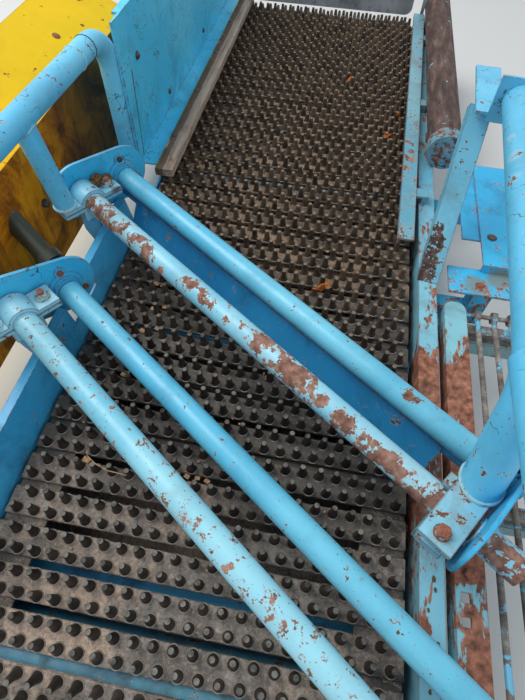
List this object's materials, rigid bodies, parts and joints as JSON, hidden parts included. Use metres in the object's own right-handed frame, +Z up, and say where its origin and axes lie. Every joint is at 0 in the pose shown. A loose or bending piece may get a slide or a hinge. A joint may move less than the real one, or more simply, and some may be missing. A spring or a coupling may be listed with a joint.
{
  "type": "potato harvester separating belt unit",
  "caption": "Belt conveyor with rubber pins between side frames, with slanted tube deflectors, rollers, guard rails and a side grate, for parting potatoes from haulm.",
  "frame": {"origin": "on the floor, under the middle of the belt", "axes": "+X across the belt to the right, +Y along the travel of its upper run, +Z up"},
  "size_m": [1.39, 2.4195, 0.61],
  "materials": {
    "blue_paint": "light blue enamel, scuffed and chipped",
    "pale_blue_paint": "faded light blue enamel flaking off over rust",
    "deep_blue_paint": "darker blue enamel in shade",
    "rusty_blue": "blue enamel worn through to brown rust",
    "rusty_steel": "bare steel with brown rust",
    "worn_steel": "bare rods, dull grey with rust and paint specks",
    "dark_steel": "dark dull steel",
    "belt_rubber": "black rubber, dull with dry soil",
    "old_board": "grey-brown weathered board",
    "grey_flap": "grey rubber sheet",
    "yellow_paint": "yellow enamel, orange-brown dirt inside",
    "dark_pipe": "dark green-black paint"
  },
  "bodies": {
    "frame": {"side_frame_left": "blue_paint", "side_frame_right": "rusty_blue", "cross_tubes": "blue_paint", "belt": "belt_rubber", "near_roller": "blue_paint", "drive_roller": "dark_steel", "carrying_rollers": "dark_steel", "shaft_bearings": "dark_steel", "tall_wall": "blue_paint", "sealing_board": "old_board", "end_flap": "grey_flap", "guard_rail_left": "blue_paint", "guard_rail_right": "blue_paint", "diagonal_brace": "rusty_blue", "side_cover": "yellow_paint", "cover_struts": "dark_pipe", "edge_strip": "rusty_blue", "inner_bar": "rusty_blue", "outer_bar": "blue_paint", "rod_grate": "worn_steel", "side_tube": "rusty_steel", "side_deck": "blue_paint", "clamps_left": "pale_blue_paint", "clamps_right": "pale_blue_paint"},
    "deflector_1": {"deflector_tube_1": "pale_blue_paint", "end_plates_1": "blue_paint", "roller_bearings_1": "blue_paint", "deflector_sheet_1": "deep_blue_paint"},
    "roller_1": {"deflector_roller_1": "blue_paint"},
    "deflector_2": {"deflector_tube_2": "pale_blue_paint", "end_plates_2": "blue_paint", "roller_bearings_2": "blue_paint", "deflector_sheet_2": "deep_blue_paint"},
    "roller_2": {"deflector_roller_2": "blue_paint"}
  },
  "joints": [
    {"name": "deflector_1_height", "type": "hinge", "parent": "frame", "child": "deflector_1", "pos_m": [0, -0.5515, 0.362], "axis": [0.8141, -0.5807, 0], "range_deg": [0, 10]},
    {"name": "roller_1_turn", "type": "hinge", "parent": "deflector_1", "child": "roller_1", "pos_m": [0.06137, -0.46547, 0.35368], "axis": [0.8141, -0.5807, 0], "continuous": true},
    {"name": "deflector_2_height", "type": "hinge", "parent": "frame", "child": "deflector_2", "pos_m": [0, -0.8796, 0.362], "axis": [0.8141, -0.5807, 0], "range_deg": [0, 20]},
    {"name": "roller_2_turn", "type": "hinge", "parent": "deflector_2", "child": "roller_2", "pos_m": [0.05932, -0.79644, 0.33367], "axis": [0.8141, -0.5807, 0], "continuous": true}
  ]
}
